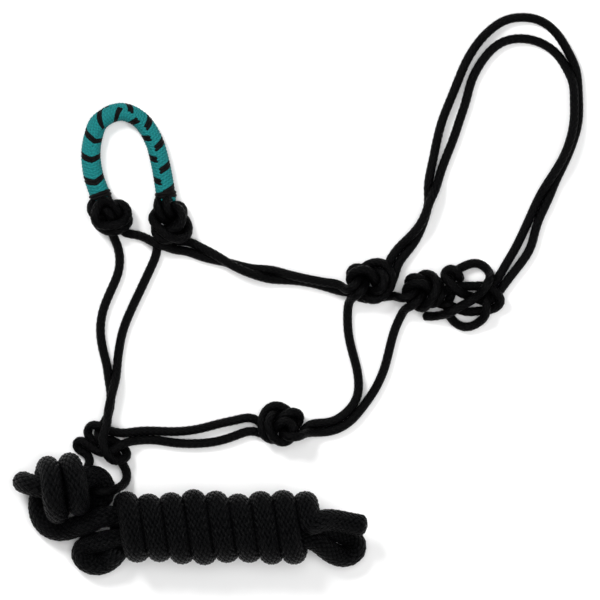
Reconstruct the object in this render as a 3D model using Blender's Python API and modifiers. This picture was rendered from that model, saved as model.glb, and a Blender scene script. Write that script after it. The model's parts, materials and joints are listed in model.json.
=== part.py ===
"""Rope halter laid flat, with a braided noseband cover and a wrapped lead rope.

The halter is one thin rope that passes through seven knots. Each stretch of rope
between two knots, and each pass of the rope through a knot, is a part of its own.
X runs to the halter's left side, Y towards the crown, Z up; the halter lies on Z = 0.
Routes are lists of (x, y, level) in millimetres, where level counts rope diameters
above the ground, and the ropes then settle onto the ground and against each other.
"""

import math

import bmesh
import bpy
import numpy as np

MM = 0.001
GAP = 0.4                       # between the ends of two neighbouring rope parts
CUT_SEARCH = 4                  # points either side in which a cut may be moved
HINGE_GAP = 1.0                 # between rope parts where the crown folds up
HINGE_CUTS = ("crown_rope_inner", "cheek_knot_right_a", "crown_rope_outer", "crown_tie_inner")
CUT_MOVES = {
    "cheek_knot_right_a": -9, "crown_rope_inner": 1, "crown_rope_outer": 1,
    "crown_tie_inner": -6,
}
CORE_INSET = 2                  # points by which a squeezed core is shorter than its route
ROPE = 6.6                      # halter rope, diameter
LEAD = 16.0                     # lead rope, diameter
TUBE_SHARE = 0.45               # radius of a modelled tube, as a share of its diameter
LEVEL = 1.12                    # height of one level, in rope diameters
STEP = 2.6                      # spacing of the points that settle, halter rope
LEAD_STEP = 4.5
LEAD_ENTRY = 4                  # points of the lead that the hank holds still
SINK = 0.05                     # how far a settling rope sinks in a round
TENSION = 0.16                  # how hard a settling rope pulls itself straight
STIFFNESS = 0.2                 # how hard it resists bending
TIGHTEST = 0.54                 # its tightest bend, radius over diameter
SETTLE_ROUNDS = 420
STILL_ROUNDS = 80
MOUTH_HOLD = (0.95, 0.9, 0.8, 0.6, 0.3)    # how firmly the cover holds a rope near its mouth
MOUTH_REACH = 3                 # points past those that still count as near the mouth
ROPE_HOLD = 0.12                # how firmly a rope between knots keeps its place
FIADOR_HOLD = 0.05
KNOT_HOLD = 0.02
LEAD_HOLD = 0.02
CLEARANCE = 0.1                 # added to a rope's radius while it settles
BEND_REACH = 2.6                # stiffness acts this many radii along a rope
BEND_MOST = 5                   # and over no more than this many points
BEND_SLACK = 0.97
PUSH = 1.5                      # more than 1 moves ropes apart a little faster
LIST_ROUNDS = 20                # the list of close pairs is made again this often
LIST_REACH = 4.0                # and takes in pairs this much further apart
CURVE_STEPS = 16                # steps between two given points of a smooth curve
MAX_TURN = math.radians(17)     # a modelled tube turns by no more than this per point
MAX_RUN = 11.0                  # and has a point at least this often
MAX_CORE_RUN = 7.5
LEAST_RUN = 1.2                 # points closer than this to a trimmed end are left out
CENTRE_SHIFT = (-1.31, 0.07)    # puts the middle of the layout on the origin

CORE_RADIUS = 2.35              # rope squeezed inside the noseband cover
CORE_OFFSET = 2.9
CORE_STEP = 8.0
COVER_WALL = 1.2
COVER_INSET = 11.0              # the cover is this much shorter than its route at each end
COVER_RADII = (7.8, 7.6, 7.2, 6.9, 6.8, 7.0, 7.3, 7.5)
COVER_STEP = 6.0
COVER_BLOCK = 7.4               # the cover's size when other ropes settle against it
COVER_BLOCK_STEP = 3.0
COVER_BLOCK_INSET = 3           # points by which that block is shorter at each end

HANK_AXIS_Y = -176.0
HANK_AXIS_Z = 21.8
HANK_START = -135.5
HANK_PITCH = 16.7
HANK_TURNS = 9
HANK_CREST = 27.2
HANK_VALLEY = 23.2
HANK_END_RADIUS = 17.5
HANK_LOBE = (0.12, 0.36)        # where one turn's bulge starts and is full, of its width
HANK_SIDES = 22
CUTTER_SIZE = (40, 80, 20)      # extra length, width and height of the block under the hank

COLOURS = {
    "halter_rope": ((0.012, 0.012, 0.013), 0.62),
    "noseband_cover": ((0.03, 0.42, 0.42), 0.55),
    "lead_rope": ((0.013, 0.013, 0.014), 0.55),
}

NOSEBAND = [
    (-145, 68), (-149, 79), (-152, 88), (-154, 104), (-152, 118), (-147, 129), (-132, 136),
    (-117, 130), (-107, 115), (-102, 98), (-99, 82), (-97, 68),
]

# The halter rope from one end to the other. A knot pass is (knot, side, direction).
HALTER = [
    ("crown_tie_outer", [
        (95, -17, 0), (103, -18, 0), (112, -15, 1), (122, -10, 2.1), (129, -6, 2),
        (136, -2, 2), (143, 4, 2.2), (146, 12, 1.6), (142, 20, 1), (135, 23, 1),
        (128, 21, 1), (122, 16, 0.4), (118, 6, 0), (116, -2, 0), (114, -11, 0),
        (116, -19, 0), (122, -24, 0), (129, -26, 0.2), (138, -21, 1), (143, -13, 2.1),
        (143, -4, 1.2), (148, 4, 0),
    ]),
    ("crown_rope_inner", [
        (153, 13, 0), (158, 22, 0), (164, 32, 0), (170, 44, 0), (175, 55, 0.2),
        (183, 70, 0.8), (191, 85, 1), (200, 100, 1), (206, 115, 1), (209, 130, 1),
        (209, 145, 1), (208, 160, 1), (202, 172, 0.8), (191, 184, 0.2), (178, 190, 0),
        (164, 191, 0), (152, 187, 0), (141, 176, 0), (132, 160, 0), (128, 145, 0),
        (123, 130, 0), (118, 115, 0), (112, 100, 0), (106, 83, 0.3), (100, 68, 1),
        (96, 56, 1), (88, 44, 0.3), (78, 33, 0), (71, 24, 0),
    ]),
    ("cheek_knot_right_a", ("cheek_knot_right", 1, -1)),
    ("cheek_rope_right", [
        (36, 5, 0), (26, 7, 1), (10, 10, 0.3), (-4, 13, 0), (-20, 16, 0), (-34, 18, 0),
        (-48, 22, 0.6), (-64, 26, 0), (-75, 30, 0), (-88, 34, 0), (-100, 37, 0),
        (-109, 40, 0), (-117, 43, 0),
    ]),
    ("nose_knot_right_a", ("nose_knot_right", 1, -1)),
    ("noseband_core_a", ("core", 1, 1)),
    ("nose_knot_left_a", ("nose_knot_left", 1, 1)),
    ("cheek_rope_left", [
        (-83, 40, 0), (-75, 34, 0), (-64, 30, 0.2), (-48, 21, 1.5), (-34, 15, 0.2),
        (-20, 12, 0), (-4, 10, 0), (10, 8, 0), (26, 4, 0), (40, 0, 0), (56, -2, 0),
        (67, -1, 0),
    ]),
    ("cheek_knot_left_a", ("cheek_knot_left", 1, 1)),
    ("tie_loop", [
        (112, 4, 1), (118, 5, 1), (126, 6, 1), (138, 4, 1), (148, 1, 1), (154, -4, 1),
        (153, -9, 1), (146, -12, 1), (136, -14, 1), (126, -14, 1), (118, -11, 1),
        (112, -8, 1),
    ]),
    ("cheek_knot_left_b", ("cheek_knot_left", -1, -1)),
    ("throat_rope_left", [
        (85, -8, 0), (80, -15, 0), (74, -28, 0), (70, -43, 0), (66, -58, 0), (59, -73, 0),
        (52, -83, 0), (42, -94, 0), (27, -103, 0), (12, -104, 0),
    ]),
    ("throat_knot_a", ("throat_knot", 1, 1)),
    ("jaw_rope_left", [
        (-32, -94, 0), (-42, -95, 0), (-57, -98, 0), (-72, -102, 0), (-87, -104, 0),
        (-102, -104, 0), (-110, -104, 0.3),
    ]),
    ("fiador_knot_a", [
        (-118, -105, 0.4), (-126, -105, 0.8), (-138, -106, 1.6), (-148, -100, 1.6),
        (-154, -100, 1), (-158, -107, 0.6), (-149, -113, 0.1), (-138, -111, 0.1),
        (-129, -115, 0.6), (-126, -122, 1), (-133, -127, 1.6), (-141, -122, 2),
        (-146, -110, 2.2), (-143, -100, 1.6), (-141, -89, 1.1),
    ]),
    ("chin_rope_left", [
        (-138, -75, 1), (-135, -58, 0.1), (-133, -43, 0), (-130, -28, 0), (-124, -13, 0),
        (-117, 2, 0), (-110, 17, 0), (-104, 32, 0),
    ]),
    ("nose_knot_left_b", ("nose_knot_left", -1, -1)),
    ("noseband_core_b", ("core", -1, -1)),
    ("nose_knot_right_b", ("nose_knot_right", -1, 1)),
    ("chin_rope_right", [
        (-133, 32, 0), (-133, 17, 0), (-139, 2, 0), (-145, -13, 0), (-147, -28, 0),
        (-145, -43, 0), (-141, -58, 0), (-139, -73, 0),
    ]),
    ("fiador_knot_b", [
        (-140, -88, 0), (-143, -97, 0), (-148, -106, 0.4), (-144, -115, 0.2),
        (-136, -119, 0.3),
    ]),
    ("fiador_loop", [
        (-132, -125, 0.8), (-129, -131, 1.4), (-127, -137, 2), (-129, -143, 2.8),
        (-138, -148, 3.4), (-149, -150, 3.4), (-158, -146, 2.6), (-159, -136, 1.2),
        (-155, -126, 0.6),
    ]),
    ("fiador_knot_c", [
        (-159, -119, 0.1), (-165, -116, 0.5), (-162, -110, 1), (-151, -116, 1.4),
        (-138, -117, 0.9), (-126, -112, 0.3), (-118, -109, 0),
    ]),
    ("jaw_rope_right", [
        (-110, -109, 0), (-102, -111, 0), (-87, -113, 0), (-72, -113, 0), (-57, -111, 0),
        (-42, -106, 0), (-32, -103, 0),
    ]),
    ("throat_knot_b", ("throat_knot", -1, -1)),
    ("throat_rope_right", [
        (12, -99, 0.2), (26, -98, 0), (36, -93, 0), (44, -83, 0), (47, -73, 0),
        (46, -58, 0), (42, -43, 0), (39, -28, 0), (39, -14, 0), (40, -5, 0),
    ]),
    ("cheek_knot_right_b", ("cheek_knot_right", -1, 1)),
    ("crown_rope_outer", [
        (75, 22, 0), (81, 30, 0), (90, 41, 0), (96, 54, 0), (100, 70, 0), (100, 85, 0),
        (103, 100, 0), (106, 115, 0), (110, 130, 0), (116, 145, 0), (122, 160, 0),
        (129, 176, 0), (141, 193, 0), (157, 205, 0), (171, 207, 0), (183, 205, 0),
        (195, 196, 0), (206, 178, 0), (211, 160, 0), (212, 145, 0), (212, 130, 0),
        (208, 114, 0), (202, 99, 0), (195, 85, 0), (188, 70, 0), (182, 55, 0),
        (179, 44, 0), (176, 33, 0), (170, 24, 0), (164, 16, 0), (158, 9, 0),
    ]),
    ("crown_tie_inner", [
        (151, 1, 0), (140, -4, 0.1), (130, -2, 0.8), (122, 2, 1.6), (115, 7, 2.2),
        (111, 14, 1.7), (116, 18, 1), (122, 14, 0.5), (119, 9, 0.1),
    ]),
]

# An overhand knot tied in two ropes: middle, turn in degrees, half width and height.
KNOTS = {
    "nose_knot_right": {"middle": (-139.5, 55.5), "turn": -20, "size": (4.9, 5.0)},
    "nose_knot_left": {"middle": (-96, 52), "turn": -90, "size": (5.0, 5.9)},
    "cheek_knot_right": {"middle": (55.5, 9), "turn": 0, "size": (4.3, 4.6)},
    "cheek_knot_left": {"middle": (97.5, 1), "turn": 0, "size": (4.3, 4.2)},
    "throat_knot": {"middle": (-11.5, -100.5), "turn": -14, "size": (-3.6, 5.4)},
}
KNOT_SCALE = 0.8                # size of a knot's loops against the sizes above
KNOT_SPREAD = 0.55              # half the distance between the two ropes, in rope diameters
KNOT_BASE = 0.9                 # height of a knot's lowest pass, in rope diameters
KNOT_STACK = math.radians(50)   # how far the two ropes of a knot pass lie over each other
KNOT_RISE = 0.95                # half the rise and fall along a knot, in rope diameters
KNOT_ENDS = math.radians(143)
KNOT_POINTS = 25

# The lead rope: short end, two wraps on itself, the fiador loop, then the hank.
LEAD_HITCH = [
    (-206, -141, 18), (-200, -142, 22), (-192, -144, 26), (-182, -146, 28), (-170, -147, 29),
    (-159, -143, 30), (-149, -139, 23), (-144, -145, 15), (-149, -157, 15),
]
HITCH_AXIS = (-149.0, 28.0)     # y and z of the middle of the wraps
HITCH_RADII = (18.5, 19.0)
HITCH_SPAN = (-160.0, -192.0)
HITCH_TURNS = 1.85
LEAD_TO_HANK = [
    (-182, -170, 9), (-170, -172, 9), (-158, -170, 14), (-147, -168, 21), (-141, -167, 23),
    (-136.2, -167, 23),
]
BIGHT_NEAR = [
    (-136.2, -187, 12), (-141, -187, 12), (-149, -186, 9), (-158, -189, 8.2),
    (-162, -195, 8.2), (-157, -201, 8.2), (-149, -203, 9), (-141, -202, 12), (-136.2, -202, 12),
]
BIGHT_FAR = [
    (15.6, -180, 11.5), (20, -180, 11.5), (28, -179, 8.2), (37, -180, 8.2), (44.5, -188, 8.2),
    (37, -197, 8.2), (28, -197, 8.2), (20, -195, 11.5), (15.6, -195, 11.5),
]
LEAD_END = [(15.6, -169, 29), (20, -169, 29), (28, -170, 27), (38, -172, 25), (53, -173, 24)]


def rope_height(level, diameter):
    return diameter * (0.5 + level * LEVEL)


def overhand(knot, side):
    """Points of one rope through a knot that two ropes share, from its left end."""
    spec = KNOTS[knot]
    turn = math.radians(spec["turn"])
    width, height = spec["size"]
    angles = np.linspace(KNOT_ENDS, -KNOT_ENDS, KNOT_POINTS)
    flat = np.stack([
        width * (np.sin(angles) + 2 * np.sin(2 * angles)) * KNOT_SCALE,
        height * (np.cos(angles) - 2 * np.cos(2 * angles)) * KNOT_SCALE,
    ], axis=1)
    along = np.gradient(flat, axis=0)
    along /= np.linalg.norm(along, axis=1)[:, None]
    flat += side * KNOT_SPREAD * ROPE * math.cos(KNOT_STACK) * np.stack(
        [-along[:, 1], along[:, 0]], axis=1)
    high = ROPE * (KNOT_BASE + KNOT_RISE * (1 + np.sin(3 * angles)))
    high += side * KNOT_SPREAD * ROPE * math.sin(KNOT_STACK)
    cosine, sine = math.cos(turn), math.sin(turn)
    x = spec["middle"][0] + cosine * flat[:, 0] - sine * flat[:, 1]
    y = spec["middle"][1] + sine * flat[:, 0] + cosine * flat[:, 1]
    return np.stack([x, y, high], axis=1)


def smooth(points, spacing):
    """Points at an even spacing along a smooth curve, and where each given one falls."""
    points = np.asarray(points, float)
    count = len(points)
    tangents = np.gradient(points, axis=0)
    fine = []
    for i in range(count - 1):
        share = np.linspace(0, 1, CURVE_STEPS, endpoint=False)[:, None]
        chord = np.linalg.norm(points[i + 1] - points[i])
        ends = []
        for k in (i, i + 1):
            length = np.linalg.norm(tangents[k])
            ends.append(tangents[k] / max(length, 1e-9) * chord)
        fine.append(
            points[i] * (2 * share**3 - 3 * share**2 + 1)
            + ends[0] * (share**3 - 2 * share**2 + share)
            + points[i + 1] * (3 * share**2 - 2 * share**3)
            + ends[1] * (share**3 - share**2))
    fine = np.concatenate(fine + [points[-1:]])
    run = np.concatenate([[0], np.cumsum(np.linalg.norm(np.diff(fine, axis=0), axis=1))])
    pieces = max(2, round(run[-1] / spacing))
    even = np.linspace(0, run[-1], pieces + 1)
    result = np.stack([np.interp(even, run, fine[:, k]) for k in range(3)], axis=1)
    marks = np.round(run[np.arange(count) * CURVE_STEPS] / run[-1] * pieces).astype(int)
    return result, marks


def cover_route(spacing):
    """The noseband's middle line, lying on the ground, with the cover's radius there."""
    flat, _ = smooth([(x, y, 0) for x, y in NOSEBAND], spacing)
    share = np.linspace(0, 1, len(flat))
    radius = np.interp(share, np.linspace(0, 1, len(COVER_RADII)), COVER_RADII)
    flat[:, 2] = radius
    return flat, radius


def core_points(side):
    middle, _ = cover_route(CORE_STEP)
    along = np.gradient(middle, axis=0)
    along /= np.linalg.norm(along, axis=1)[:, None]
    across = np.stack([-along[:, 1], along[:, 0], np.zeros(len(along))], axis=1)
    return middle + side * CORE_OFFSET * across


def halter_points():
    """The whole halter rope before it settles, and the name and start of each part."""
    points = []
    starts = []
    for name, what in HALTER:
        if isinstance(what, tuple):
            where, side, direction = what
            part = core_points(side) if where == "core" else overhand(where, side)
            part = part[::direction]
        else:
            part = [(x, y, rope_height(level, ROPE)) for x, y, level in what]
        after_core = bool(starts) and "core" in starts[-1][0]
        starts.append((name, len(points) - 1 if after_core else len(points)))
        points.extend([tuple(p) for p in part])
    even, marks = smooth(points, STEP)
    return even, [(name, marks[start]) for name, start in starts]


def wrap(axis_y, axis_z, radii, span, turns):
    """Turns of rope round a line along X, starting on its -Y side."""
    share = np.linspace(0, 1, int(turns * CURVE_STEPS) + 1)
    angle = 2 * math.pi * turns * share
    x = span[0] + (span[1] - span[0]) * share
    y = axis_y - radii[0] * np.cos(angle)
    z = axis_z + radii[1] * np.sin(angle)
    return [tuple(p) for p in np.stack([x, y, z], axis=1)]


def lead_points():
    """The lead rope from its short end to the hank, before it settles."""
    wraps = wrap(*HITCH_AXIS, HITCH_RADII, HITCH_SPAN, HITCH_TURNS)
    points = LEAD_HITCH + wraps + LEAD_TO_HANK
    even, _ = smooth(points, LEAD_STEP)
    return even


def close_pairs(points, radii, rope, skip, mouth, reach):
    """Pairs of points that may touch, leaving out neighbours along one rope."""
    order = np.arange(len(points))
    first, second = [], []
    for i in range(len(points) - 1):
        other = order[i + 1:]
        gap = np.abs(points[other] - points[i]).max(axis=1)
        near = gap < radii[i] + radii[other] + reach
        near &= ~((rope[other] == rope[i]) & (other - i <= skip[i]))
        near &= ~((rope[other] == -1) & mouth[i])
        hit = other[near]
        first.append(np.full(len(hit), i))
        second.append(hit)
    return np.concatenate(first), np.concatenate(second)


def bend_pairs(points, radii, rope, skip):
    """Near neighbours along a rope, and the least distance its stiffness allows them."""
    first, second, least = [], [], []
    for steps in range(2, int(skip.max()) + 1):
        a = np.nonzero((rope[:-steps] == rope[steps:]) & (skip[:-steps] >= steps))[0]
        spacing = np.linalg.norm(points[a + 1] - points[a], axis=1)
        tightest = TIGHTEST * 2 * radii[a]
        angle = np.minimum(steps * spacing / (2 * tightest), math.pi / 2)
        first.append(a)
        second.append(a + steps)
        least.append(2 * tightest * np.sin(angle) * BEND_SLACK)
    return np.concatenate(first), np.concatenate(second), np.concatenate(least)


def push_apart(points, a, b, least, free):
    """Move each pair that is too close half the missing distance each."""
    away = points[a] - points[b]
    size = np.maximum(np.linalg.norm(away, axis=1), 1e-6)
    hit = size < least
    i, j = a[hit], b[hit]
    push = (0.5 * (least[hit] / size[hit] - 1))[:, None] * away[hit]
    count = np.bincount(np.concatenate([i, j]), minlength=len(points))
    total = np.zeros_like(points)
    np.add.at(total, i, push)
    np.add.at(total, j, -push)
    points[free] += total[free] * (PUSH / np.maximum(count, PUSH))[free, None]


def settle(ropes, fixed):
    """Let ropes lie on the ground and against each other without passing through.

    ropes is a list of (points, radius, hold): hold is how strongly each point keeps
    its place on the ground plan, and 1 pins it. fixed is (points, radii) that stay.
    """
    points = np.concatenate([r[0] for r in ropes] + [fixed[0]])
    radii = np.concatenate([np.full(len(r[0]), r[1]) for r in ropes] + [fixed[1]])
    hold = np.concatenate([r[2] for r in ropes] + [np.ones(len(fixed[0]))])
    rope = np.concatenate(
        [np.full(len(r[0]), k) for k, r in enumerate(ropes)] + [np.full(len(fixed[0]), -1)])
    home = points.copy()
    pinned = hold >= 1
    free = ~pinned
    inner = np.zeros(len(points), bool)
    inner[1:-1] = (rope[:-2] == rope[2:]) & free[1:-1]
    deep_inner = np.zeros(len(points), bool)
    deep_inner[2:-2] = (rope[:-4] == rope[4:]) & free[2:-2]
    spacing = np.ones(len(points))
    spacing[:-1] = np.maximum(np.linalg.norm(np.diff(points, axis=0), axis=1), 1.0)
    skip = np.minimum(np.ceil(BEND_REACH * radii / spacing), BEND_MOST).astype(int)
    bend = bend_pairs(points, radii, rope, skip)
    mouth = np.zeros(len(points), bool)
    near_mouth = len(MOUTH_HOLD) + MOUTH_REACH
    for i in np.nonzero(pinned & (rope >= 0) & (radii < LEAD / 2))[0]:
        mouth[max(0, i - near_mouth):i + near_mouth + 1] = True
    gripped = hold >= min(MOUTH_HOLD)
    for step in range(SETTLE_ROUNDS + STILL_ROUNDS):
        if step % LIST_ROUNDS == 0:
            a, b = close_pairs(points, radii, rope, skip, mouth, LIST_REACH)
            least = radii[a] + radii[b]
        still = step >= SETTLE_ROUNDS
        near = points[:-2] + points[2:]
        pull = np.zeros_like(points)
        pull[1:-1] = 0.5 * near - points[1:-1]
        stiff = np.zeros_like(points)
        stiff[2:-2] = (4 * near[1:-1] - points[:-4] - points[4:]) / 6 - points[2:-2]
        points[deep_inner] += STIFFNESS * stiff[deep_inner]
        if not still:
            points[inner] += TENSION * pull[inner]
            points[free, :2] += (hold[free, None]) * (home - points)[free, :2]
            points[gripped, 2] += hold[gripped] * (home - points)[gripped, 2]
            points[free, 2] -= SINK
        push_apart(points, *bend, free)
        push_apart(points, a, b, least, free)
        push_apart(points, a, b, least, free)
        points[free, 2] = np.maximum(points[free, 2], radii[free])
    deep = np.linalg.norm(points[a] - points[b], axis=1) - least
    print(f"settled {len(points)} points, closest {deep.min():.2f} mm")
    starts = np.cumsum([0] + [len(r[0]) for r in ropes])
    return [points[i:j] for i, j in zip(starts, starts[1:])]


def halter_hold(starts, count):
    """Rope between knots keeps its place; rope in a knot gives way more."""
    hold = np.full(count, ROPE_HOLD)
    ends = [start for _, start in starts[1:]] + [count]
    for (name, start), end in zip(starts, ends):
        if "knot" in name:
            hold[start:end] = FIADOR_HOLD if "fiador" in name else KNOT_HOLD
        if "core" in name:
            hold[start:end] = 1.0
            hold[start:start + len(MOUTH_HOLD)] = MOUTH_HOLD[::-1]
            hold[end - len(MOUTH_HOLD):end] = MOUTH_HOLD
    return hold


def turn_at(points, i, reach=2):
    """The angle a rope turns through at one of its points."""
    before = points[i] - points[i - reach]
    after = points[i + reach] - points[i]
    cosine = before @ after / (np.linalg.norm(before) * np.linalg.norm(after))
    return math.acos(max(-1.0, min(1.0, float(cosine))))


def straight_cuts(points, starts):
    """Move each cut between two parts to the straightest spot close by."""
    moved = [starts[0]]
    for (before, _), (name, start) in zip(starts, starts[1:]):
        nominal = start + CUT_MOVES.get(name, 0)
        reach = CUT_SEARCH if name not in CUT_MOVES else 1
        places = range(nominal - reach, nominal + reach + 1)
        if "core" in name:
            places = [start + CORE_INSET]
        if "core" in before:
            places = [start - CORE_INSET]
        moved.append((name, min(places, key=lambda i: turn_at(points, i))))
    return moved


def settled_ropes():
    halter, starts = halter_points()
    lead = lead_points()
    cover, _ = cover_route(COVER_BLOCK_STEP)
    hold = halter_hold(starts, len(halter))
    core = hold == 1.0
    radii = np.full(len(cover), COVER_BLOCK)
    lead_hold = np.full(len(lead), LEAD_HOLD)
    lead_hold[-LEAD_ENTRY:] = 1.0
    ropes = []
    begin = 0
    cuts = [i for i in range(1, len(halter)) if core[i] != core[i - 1]]
    for cut in cuts + [len(halter)]:
        ropes.append((begin, cut, bool(core[begin])))
        begin = cut
    for i, j, inside in ropes:
        if not inside:
            hold[[k for k in (i, j - 1) if 0 < k < len(halter) - 1]] = 1.0
    thin, thick = ROPE / 2 + CLEARANCE, LEAD / 2 + CLEARANCE
    loose = [(halter[i:j], thin, hold[i:j]) for i, j, inside in ropes if not inside]
    loose.append((lead, thick, lead_hold))
    inside = slice(COVER_BLOCK_INSET, len(cover) - COVER_BLOCK_INSET)
    bight, _ = smooth(BIGHT_NEAR, LEAD_STEP)
    fixed = np.concatenate([cover[inside], bight])
    fixed_radii = np.concatenate([radii[inside], np.full(len(bight), LEAD / 2)])
    done = settle(loose, (fixed, fixed_radii))
    result = halter.copy()
    for (i, j, _), found in zip([r for r in ropes if not r[2]], done[:-1]):
        result[i:j] = found
    return result, straight_cuts(result, starts), done[-1]


def clear_scene():
    for thing in list(bpy.data.objects):
        bpy.data.objects.remove(thing, do_unlink=True)


def new_collection(name):
    collection = bpy.data.collections.new(name)
    bpy.context.scene.collection.children.link(collection)
    return collection


def material(name):
    found = bpy.data.materials.get(name)
    if found:
        return found
    colour, roughness = COLOURS[name]
    made = bpy.data.materials.new(name)
    made.use_nodes = True
    shader = made.node_tree.nodes["Principled BSDF"]
    shader.inputs["Base Color"].default_value = (*colour, 1)
    shader.inputs["Roughness"].default_value = roughness
    shader.inputs["Metallic"].default_value = 0
    return made


def thin_out(points, longest=MAX_RUN):
    """Keep fewer points where the rope is straight and more where it bends."""
    keep = [0, 1]
    heading = points[1] - points[0]
    last = len(points) - 1
    for i in range(2, last):
        step = points[i + 1] - points[i]
        cosine = step @ heading / (np.linalg.norm(step) * np.linalg.norm(heading))
        turn = math.acos(max(-1.0, min(1.0, float(cosine))))
        far = np.linalg.norm(points[i] - points[keep[-1]]) > longest
        if turn > MAX_TURN or far or i == last - 1:
            keep.append(i)
            heading = step
    return points[keep + [last]]


def trim(points, at_start, at_end):
    """Shorten a route at its ends by the given lengths."""
    run = np.concatenate([[0], np.cumsum(np.linalg.norm(np.diff(points, axis=0), axis=1))])
    inside = (run > at_start + LEAST_RUN) & (run < run[-1] - at_end - LEAST_RUN)
    ends = [[np.interp(s, run, points[:, k]) for k in range(3)]
            for s in (at_start, run[-1] - at_end)]
    return np.concatenate([[ends[0]], points[inside], [ends[1]]])


def rope_object(name, points, radius, slot, parts):
    """A plain tube with closed ends along a route."""
    data = bpy.data.curves.new(name, "CURVE")
    data.dimensions = "3D"
    data.bevel_depth = radius * MM
    data.bevel_resolution = 2
    data.use_fill_caps = True
    spline = data.splines.new("POLY")
    spline.points.add(len(points) - 1)
    for target, place in zip(spline.points, points):
        target.co = (*[float(c) * MM for c in place], 1)
    data.materials.append(material(slot))
    made = bpy.data.objects.new(name, data)
    parts.objects.link(made)
    return made


def add_halter_rope(halter, starts, parts):
    ends = [start for _, start in starts[1:]] + [len(halter) - 1]
    tube = ROPE * TUBE_SHARE
    after = [name for name, _ in starts[1:]] + [None]
    for (name, start), end, follower in zip(starts, ends, after):
        route = halter[start:end + 1]
        squeezed = "core" in name
        radius = CORE_RADIUS if squeezed else tube
        gaps = []
        for i, cut in ((start, name), (end, follower)):
            at_tip = i in (0, len(halter) - 1)
            gap = HINGE_GAP if cut in HINGE_CUTS else GAP
            gaps.append(0 if at_tip else gap / 2 + tube * math.tan(turn_at(halter, i) / 2))
        thin = thin_out(trim(route, *gaps), MAX_CORE_RUN if squeezed else MAX_RUN)
        rope_object(name, thin, radius, "halter_rope", parts)


def add_cover(parts):
    """The braided cover: a hollow sleeve, open at both ends, round the two cores."""
    route, _ = cover_route(COVER_STEP)
    trimmed = trim(route, COVER_INSET, COVER_INSET)
    share = np.linspace(0, 1, len(trimmed))
    radii = np.interp(share, np.linspace(0, 1, len(COVER_RADII)), COVER_RADII)
    trimmed[:, 2] = radii
    tube = rope_object("noseband_cover", trimmed, MM, "noseband_cover", parts)
    tube.data.bevel_depth = MM
    tube.data.use_fill_caps = False
    tube.data.bevel_resolution = 3
    for point, size in zip(tube.data.splines[0].points, radii):
        point.radius = float(size)
    solid = mesh_from(tube, parts)
    wall = solid.modifiers.new("wall", "SOLIDIFY")
    wall.thickness = COVER_WALL * MM
    wall.offset = -1
    return solid


def mesh_from(curve, parts):
    """Replace a curve object with a mesh object of the same name and shape."""
    bpy.context.view_layer.update()
    graph = bpy.context.evaluated_depsgraph_get()
    mesh = bpy.data.meshes.new_from_object(curve.evaluated_get(graph))
    name = curve.name
    place = curve.matrix_world.copy()
    bpy.data.objects.remove(curve, do_unlink=True)
    edit = bmesh.new()
    edit.from_mesh(mesh)
    bmesh.ops.remove_doubles(edit, verts=edit.verts, dist=1e-6)
    bmesh.ops.recalc_face_normals(edit, faces=edit.faces)
    edit.to_mesh(mesh)
    edit.free()
    made = bpy.data.objects.new(name, mesh)
    made.matrix_world = place
    parts.objects.link(made)
    return made


def hank_profile():
    """Half outline of the wrapped hank, from its axis at one end to the other."""
    start, full = HANK_LOBE
    outline = [(0.0, 0.0), (HANK_END_RADIUS, 0.0)]
    for turn in range(HANK_TURNS):
        base = turn * HANK_PITCH
        outline.append((HANK_VALLEY, base + start * HANK_PITCH))
        outline.append((HANK_CREST, base + full * HANK_PITCH))
        outline.append((HANK_CREST, base + (1 - full) * HANK_PITCH))
        outline.append((HANK_VALLEY, base + (1 - start) * HANK_PITCH))
    long = HANK_TURNS * HANK_PITCH
    outline += [(HANK_END_RADIUS, long), (0.0, long)]
    return outline


def add_hank(parts, cutters):
    """The wrapped turns of the lead: a lobed turned solid with a flat underside."""
    outline = hank_profile()
    mesh = bpy.data.meshes.new("lead_hank")
    mesh.from_pydata(
        [(r * MM, 0, -z * MM) for r, z in outline], [(i, i + 1) for i in range(len(outline) - 1)],
        [])
    mesh.materials.append(material("lead_rope"))
    hank = bpy.data.objects.new("lead_hank", mesh)
    parts.objects.link(hank)
    hank.rotation_euler = (0, math.radians(-90), 0)
    hank.location = (HANK_START * MM, HANK_AXIS_Y * MM, HANK_AXIS_Z * MM)
    turned = hank.modifiers.new("turned", "SCREW")
    turned.angle = 2 * math.pi
    turned.steps = HANK_SIDES
    turned.render_steps = HANK_SIDES
    turned.use_merge_vertices = True
    turned.merge_threshold = 1e-5
    block = cutter("ground_cutter", cutters)
    cut = hank.modifiers.new("flat", "BOOLEAN")
    cut.operation = "DIFFERENCE"
    cut.object = block
    return hank


def cutter(name, cutters):
    long = HANK_TURNS * HANK_PITCH
    bpy.ops.mesh.primitive_cube_add(size=1)
    block = bpy.context.object
    block.name = name
    extra, width, height = CUTTER_SIZE
    block.dimensions = ((long + extra) * MM, width * MM, height * MM)
    block.location = ((HANK_START + long / 2) * MM, HANK_AXIS_Y * MM, -height / 2 * MM)
    for old in list(block.users_collection):
        old.objects.unlink(block)
    cutters.objects.link(block)
    block.hide_render = True
    block.display_type = "WIRE"
    return block


def centre(collection):
    """Slide everything in a collection so that the whole layout is over the origin."""
    for thing in collection.objects:
        thing.location.x += CENTRE_SHIFT[0] * MM
        thing.location.y += CENTRE_SHIFT[1] * MM


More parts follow.
